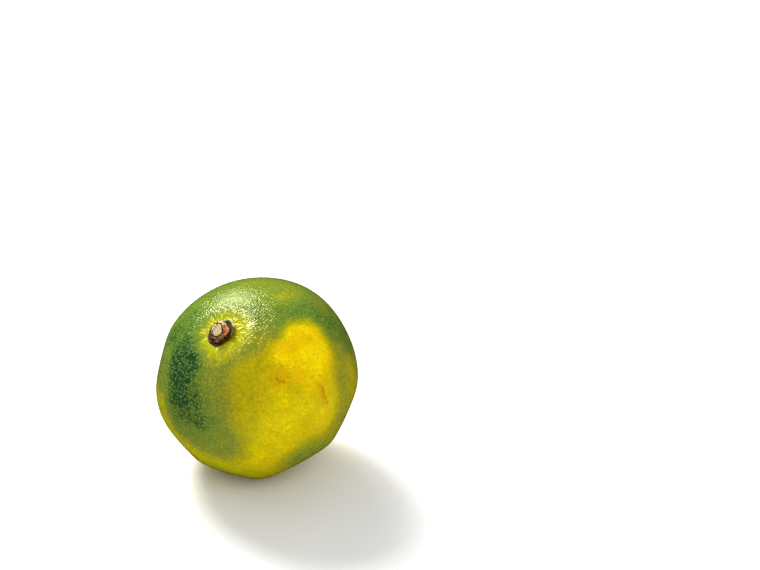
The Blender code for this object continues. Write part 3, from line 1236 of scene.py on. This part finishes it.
# %% Make the pale wood
WOOD_CENTRE = (0.02, -0.28)
WOOD_LONG = 2.2
WOOD_SHORT = 1.42
WOOD_BEARING = 117
WOOD_EGG = 0.40
WOOD_TOP = 2.85
STEM_FOOT = 0.9
WOOD_EDGE = (0.05, 0.8, 61.0)
WOOD_CIRCLE = 2
WOOD_FACE = ((0.05, 0.5, 67.0), (0.035, 0.2, 71.0))
WOOD_GROOVES = (0.03, 0.4, 73.0)
WOOD_DOMED = 0.05
WOOD_BEND = 4
FACE_SHARES = (0.1, 0.25, 0.4, 0.52, 0.64, 0.74, 0.82, 0.89, 0.95)
SIDE_SHARES = {0.08: 0.985, 0.22: 1.0, 0.6: 1.005, 1.1: 1.0, 1.6: 1.0, WOOD_TOP - STEM_FOOT: 1.0}

wood_turned = np.radians(turned_from(WOOD_BEARING))
oval = 1 / np.hypot(np.cos(wood_turned) / WOOD_LONG, np.sin(wood_turned) / WOOD_SHORT)
egg = 1 - WOOD_EGG * np.cos(wood_turned) * np.sin(wood_turned) ** 2
wood_outline = oval * egg + ragged(WOOD_CIRCLE, WOOD_EDGE)
wood_top = seat + WOOD_TOP
wood_rings = []
for share in FACE_SHARES:
    flat = ring(wood_outline * share, 0.0, WOOD_CENTRE)
    height = wood_top + rough(flat, *WOOD_FACE) - WOOD_DOMED * share ** WOOD_BEND
    wood_rings.append(ring(wood_outline * share, height, WOOD_CENTRE))
for drop, share in SIDE_SHARES.items():
    flat = ring(wood_outline * share, wood_top - drop, WOOD_CENTRE)
    grooved = wood_outline * share + rough(flat, WOOD_GROOVES)
    wood_rings.append(ring(grooved, wood_top - drop, WOOD_CENTRE))
stem_wood = ringed_body("stem_wood", wood_rings)

# %% [markdown]
# The bark round the wood has shrunk, so a thin dark gap runs between the two, and
# its upper edge is uneven. A ring that is only pushed outwards would have a plain
# top, so the mantle gets ridges across its top, a lip, and corners where the
# collar has them. Behind and on the left the bark is paler, wider and stands
# higher.

# %% Draw the outlines of the bark
BARK_GAP = 0.32
BARK_WIDTH = 0.42
BARK_TOP = 2.62
BARK_FALL = 0.55
BARK_CORNER = 0.26
BARK_CORNER_HALF = 26
PALE_BARK = {"behind": (104, 26), "on the left": (176, 30)}
PALE_EDGE = 14
PALE_WIDER = 0.25
PALE_HIGHER = 0.7
GAP_WAVES = (0.04, 0.6, 79.0)
SIDE_WAVES = (0.10, 0.7, 83.0)
TOP_WAVES = (0.12, 0.9, 89.0)
TOP_RIPPLES = (0.07, 0.4, 97.0)
BARK_CIRCLE = 3
RIPPLE_CIRCLE = 5

pale_side = np.zeros(ROUND)
for bearing, half_width in PALE_BARK.values():
    nearness = (half_width - np.abs(turned_from(bearing))) / PALE_EDGE
    pale_side = np.maximum(pale_side, smooth(nearness + HALF_WAY))
bark_inside = wood_outline + BARK_GAP + ragged(BARK_CIRCLE, GAP_WAVES)
bark_width = BARK_WIDTH + ragged(BARK_CIRCLE, SIDE_WAVES) + PALE_WIDER * pale_side
bark_width += BARK_CORNER * blunt_corners(BARK_CORNER_HALF)
bark_outside = bark_inside + bark_width
bark_top = seat + BARK_TOP + ragged(BARK_CIRCLE, TOP_WAVES) + ragged(RIPPLE_CIRCLE, TOP_RIPPLES)
bark_fall = BARK_FALL * (1 - PALE_HIGHER * pale_side)
print(f"the bark is {bark_width.min():.2f} to {bark_width.max():.2f} mm thick")

# %% Make the mantle of bark
BARK_LUMPS = (0.10, 0.3, 99.0)
BARK_CRACKS = (0.06, 0.35, 101.0)
RIDGE_HEIGHT = 0.06
RIDGES = 1.5
FALL_BEND = 1.5
INNER_EDGE_DROP = 0.12
BARK_TAPER = 0.1
FOOT_INWARD = 0.15
LIP_SHARES = (0.12, 0.3, 0.5, 0.7, 0.88, 1.0)
LIP_DROPS = (0.12, 0.3, 0.5, 0.75)

stem_foot = seat + STEM_FOOT
bark_rings = [ring(bark_inside, height, WOOD_CENTRE) for height in (stem_foot, bark_top - INNER_EDGE_DROP)]
for share in LIP_SHARES:
    reach_out = bark_inside + bark_width * share
    lumps = rough(ring(reach_out, 0.0, WOOD_CENTRE), BARK_LUMPS)
    ridges = RIDGE_HEIGHT * math.cos(2 * math.pi * RIDGES * share)
    height = bark_top - bark_fall * share ** FALL_BEND + lumps + ridges
    bark_rings.append(ring(reach_out, height, WOOD_CENTRE))
bark_lip = height
for drop in LIP_DROPS:
    flat = ring(bark_outside, bark_lip - drop, WOOD_CENTRE)
    cracked = bark_outside - BARK_TAPER * drop + rough(flat, BARK_CRACKS)
    bark_rings.append(ring(cracked, bark_lip - drop, WOOD_CENTRE))
bark_rings.append(ring(bark_outside - FOOT_INWARD, stem_foot, WOOD_CENTRE))
stem_bark = ringed_body("stem_bark", bark_rings, hollow=True)

# %% [markdown]
# On the right the bark tore as the stem was clipped. A crescent of it leans
# outwards over the collar, red where it is fresh and orange-brown at its edge. It
# tapers to nothing at both ends, which closed rings can't do. So it is a slab: a
# grid for its upper side, the same grid a little lower, and faces round the border.

# %% Lay out the torn crescent
TEAR_BEARING = 34
TEAR_HALF = 44
TEAR_WIDTH = 1.15
TEAR_STEPS = 49
TEAR_ROWS = 13
TEAR_THICK = 0.28
TEAR_THINNED = 0.6
TEAR_INWARD = 0.25
TEAR_ENDS = 0.6
TEAR_END_WIDTH = 0.02
TEAR_RAGGED = 0.16
TEAR_RAG_SCALE = 7
TEAR_RAG_SEED = 3.1
TEAR_RAISED = 0.1
TEAR_DROOP = 0.45
TEAR_BULGE = 0.22
TEAR_LUMPS = 0.10
TEAR_LUMP_SCALE = 2.2
TEAR_LUMP_SEED = 7.0


def tear_corner(step, share):
    """A corner of the tear's upper side and the one below it, at a step along it and a share of its width."""
    bearing = math.radians(TEAR_BEARING + TEAR_HALF * step)
    start = at_turn(math.degrees(bearing), bark_outside) - TEAR_INWARD
    uneven = 1 + TEAR_RAGGED * noise.noise(Vector((step * TEAR_RAG_SCALE, TEAR_RAG_SEED, 0.0)))
    far = start + (TEAR_WIDTH * (1 - step ** 2) ** TEAR_ENDS * uneven + TEAR_END_WIDTH) * share
    x = WOOD_CENTRE[0] + far * math.cos(bearing)
    y = WOOD_CENTRE[1] + far * math.sin(bearing)
    bulge = TEAR_BULGE * math.sin(math.pi * share)
    bulge += TEAR_LUMPS * noise.noise(Vector((x, y, TEAR_LUMP_SEED)) * TEAR_LUMP_SCALE)
    height = seat + BARK_TOP - BARK_FALL + TEAR_RAISED - TEAR_DROOP * share + bulge * (1 - step ** 2)
    return (x, y, height), (x, y, height - TEAR_THICK * (1 - TEAR_THINNED * share))


tear_shares = np.linspace(0, 1, TEAR_ROWS)
pairs = [tear_corner(step, share) for step in np.linspace(-1, 1, TEAR_STEPS) for share in tear_shares]
tear_places = np.array([upper for upper, _ in pairs] + [lower for _, lower in pairs])
print(f"the crescent has {len(pairs)} corners on its upper side")

# %% Make the torn crescent
numbers = np.arange(len(pairs)).reshape(TEAR_STEPS, TEAR_ROWS)
quads = np.stack((numbers[:-1, :-1], numbers[:-1, 1:], numbers[1:, 1:], numbers[1:, :-1]), -1).reshape(-1, 4)
border = np.concatenate((numbers[0], numbers[1:, -1], numbers[-1, -2::-1], numbers[-2:0:-1, 0]))
after = np.roll(border, -1)
edges = np.stack((after, border, len(pairs) + border, len(pairs) + after), 1)
tear_faces = np.concatenate((quads, len(pairs) + quads[:, ::-1], edges))
torn_bark = place_piece("torn_bark", tear_places, tear_faces.tolist())

# %% [markdown]
# Wood, bark and the tear are all dry, matt and grained. Three separate materials
# would repeat themselves, so one recipe makes them, with other tones and another
# grain. A number on each corner sets the base tone. It holds painted shade: dark
# down the side of the wood, in the gap, and down the outside of the bark to its
# foot. It is light on the lip of the bark, and across the tear it runs from its
# red root to its orange edge.

# %% Say how light each corner is
WOOD_LIGHT = 0.55
WOOD_SIDE_SHADE = 0.6
WOOD_SIDE_FROM = 0.10
WOOD_SIDE_EDGE = 0.25
BARK_LIGHT = 0.46
PALE_LIGHTER = 0.5
GAP_SHADE_SHARES = (-0.2, 0.0, 0.55)
FOOT_SHADE_SHARES = (0.75, 0.35, 0.0, -0.2)

wood_height = upright(corners_of(stem_wood.data))[:, 2]
# Painted shade: the side of the wood is darkened where it goes down into the gap.
shaded_wood_side = smooth((wood_top - WOOD_SIDE_FROM - wood_height) / WOOD_SIDE_EDGE)
store(stem_wood.data, "light", WOOD_LIGHT - WOOD_SIDE_SHADE * shaded_wood_side)
# Painted shade on the bark: dark on its inner wall in the gap, and darker down its outside to the foot, where
# it meets the collar.
lip_rings = len(bark_rings) - len(GAP_SHADE_SHARES) - len(FOOT_SHADE_SHARES)
bark_shares = GAP_SHADE_SHARES + (1.0,) * lip_rings + FOOT_SHADE_SHARES
store(stem_bark.data, "light", np.outer(bark_shares, BARK_LIGHT + PALE_LIGHTER * pale_side).ravel())
store(torn_bark.data, "light", np.tile(tear_shares, 2 * TEAR_STEPS))

# %% Paint the wood, the bark and the tear
WOOD_TONES = {
    0.0: paint(30, 16, 6),
    0.3: paint(128, 102, 58),
    0.55: paint(188, 166, 114),
    0.85: paint(222, 206, 158),
}
BARK_TONES = {
    0.1: paint(44, 26, 6),
    0.45: paint(126, 92, 40),
    0.75: paint(200, 164, 118),
    1.0: paint(228, 204, 168),
}
TEAR_TONES = {
    0.0: paint(100, 26, 6),
    0.35: paint(188, 70, 16),
    0.7: paint(212, 130, 56),
    1.0: paint(190, 146, 84),
}
DRY_FINISH = {"Roughness": 0.75, "Specular IOR Level": 0.25}
DRY_DETAIL = 6.0


def dry_material(name, tones, scale, contrast, depth):
    """A dry material whose tone is the stored lightness, with grain in its colour and its relief."""
    material, tree, shader = new_material(name, DRY_FINISH)
    grain = grain_at(tree, stored(tree, "place", PLACE), scale, DRY_DETAIL)
    tone = swayed(tree, grain, HALF_WAY, contrast, stored(tree, "light"))
    tree.links.new(ramp(tree, tone, tones), shader.inputs["Base Color"])
    bump(tree, shader, grain, depth)
    return material


pale_wood = dry_material("pale_wood", WOOD_TONES, scale=3.0, contrast=1.8, depth=0.12 * MM)
dry_bark = dry_material("dry_bark", BARK_TONES, scale=1.7, contrast=1.3, depth=0.15 * MM)
fresh_tear = dry_material("torn_bark", TEAR_TONES, scale=2.4, contrast=1.0, depth=0.12 * MM)
for piece, material in ((stem_wood, pale_wood), (stem_bark, dry_bark), (torn_bark, fresh_tear)):
    hand_in(piece, material, "stem_stub")

# %% [markdown]
# ## The floor
#
# The fruit lies on a plain pale table, so wide that its edge stays far away. A
# curved backdrop would hide the edge too, but the camera looks down and never sees
# it. The gloss of the peel doesn't mirror the floor, which keeps the foot of the
# fruit as deep in colour as it is in daylight.

# %% Lay the floor
FLOOR_SIDE = 6.0
FLOOR_FINISH = {"Base Color": (0.92, 0.92, 0.92, 1.0), "Roughness": 0.7}

floor_made = bmesh.new()
bmesh.ops.create_grid(floor_made, x_segments=1, y_segments=1, size=FLOOR_SIDE / 2)
floor_mesh = bpy.data.meshes.new("floor")
floor_made.to_mesh(floor_mesh)
floor_made.free()
floor = bpy.data.objects.new("floor", floor_mesh)
bpy.context.scene.collection.objects.link(floor)
floor_mesh.materials.append(new_material("pale_floor", FLOOR_FINISH)[0])
floor.visible_glossy = False
floor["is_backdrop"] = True
print(f"the floor is {FLOOR_SIDE} m wide")

# %% [markdown]
# ## The lamps
#
# A glossy peel shows where its light comes from. Here a large soft lamp hangs
# behind the fruit and draws the glittering patch above the stem, and a small one
# draws the single bright glint beside it. Both could be pushed about until the
# glitter is in place. It is surer to ask the peel: the way from the camera to a
# pixel, mirrored by the skin there, points at the place for the lamp.
#
# Two more lamps only fill, one behind and one in front of the fruit. They are kept
# out of the gloss, or each would add a patch of its own.

# %% Helpers to hang a lamp
def soft_lamp(name, way, distance, width, height, power, glossy=True):
    """A rectangular lamp that faces the fruit from a direction."""
    data = bpy.data.lights.new(name, "AREA")
    data.shape = "RECTANGLE"
    data.size = width
    data.size_y = height
    data.energy = power
    lamp = bpy.data.objects.new(name, data)
    bpy.context.scene.collection.objects.link(lamp)
    way = Vector(way).normalized()
    lamp.location = middle + way * distance
    lamp.rotation_euler = way.to_track_quat("Z", "Y").to_euler()
    lamp.visible_glossy = glossy
    print(f"{name}: {power} W, along {[round(part, 2) for part in way]}")
    return lamp


def mirror_way(pixel):
    """The direction in which a lamp must hang for the peel to mirror it at a pixel of the picture."""
    place = at_pixel(*pixel)
    normal = peel_surface.find_nearest(place)[1]
    return (place - camera.location).normalized().reflect(normal)


# %% Hang the lamps
GLITTER = (237, 302)
FILL_PIXEL = (239, 300)
BEHIND = 0.9
FRONT_WAY = (0.35, -0.75, 0.75)
IN_FRONT = 1.4

soft_lamp("back_lamp", mirror_way(GLITTER), BEHIND, width=0.30, height=0.30, power=6.8)
soft_lamp("back_fill", mirror_way(FILL_PIXEL), BEHIND, width=0.50, height=0.38, power=5.0, glossy=False)
soft_lamp("front_lamp", FRONT_WAY, IN_FRONT, width=1.0, height=0.8, power=5.8, glossy=False)
glint_lamp = soft_lamp("glint_lamp", mirror_way(SMOOTH_SPOT), BEHIND, width=0.06, height=0.06, power=1.3)
glint_lamp.visible_diffuse = False

# %% [markdown]
# All round, a pale sky fills the shadows, as the white walls of a studio would. It
# could be an image of a real room, but then the peel would mirror that room. This
# one is a single white, and it too is kept out of the gloss. The colours are shown
# as they are, without the film-like curve that Blender would put on them.

# %% Light the sky
SKY_STRENGTH = 0.60

sky = bpy.data.worlds.new("pale_sky")
sky.use_nodes = True
background = sky.node_tree.nodes["Background"]
background.inputs["Color"].default_value = (1.0, 1.0, 1.0, 1.0)
background.inputs["Strength"].default_value = SKY_STRENGTH
sky.cycles_visibility.glossy = False
bpy.context.scene.world = sky
bpy.context.scene.view_settings.view_transform = "Standard"
print(f"the sky's strength is {SKY_STRENGTH}")

# %% [markdown]
# ## The sizes
#
# The skin has to leave the fruit as large as its solids. Two boxes are gathered
# for that: the one that was measured at the start, and the one round the finished
# pieces. The second is printed here, as the first was then.

# %% Gather the two boxes and print the finished one
boxes = {"cad": measured_bounds, "visual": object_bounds()}
boxes = {name: [list(corner) for corner in box] for name, box in boxes.items()}
print("the finished pieces fill", boxes["visual"], "in metres")
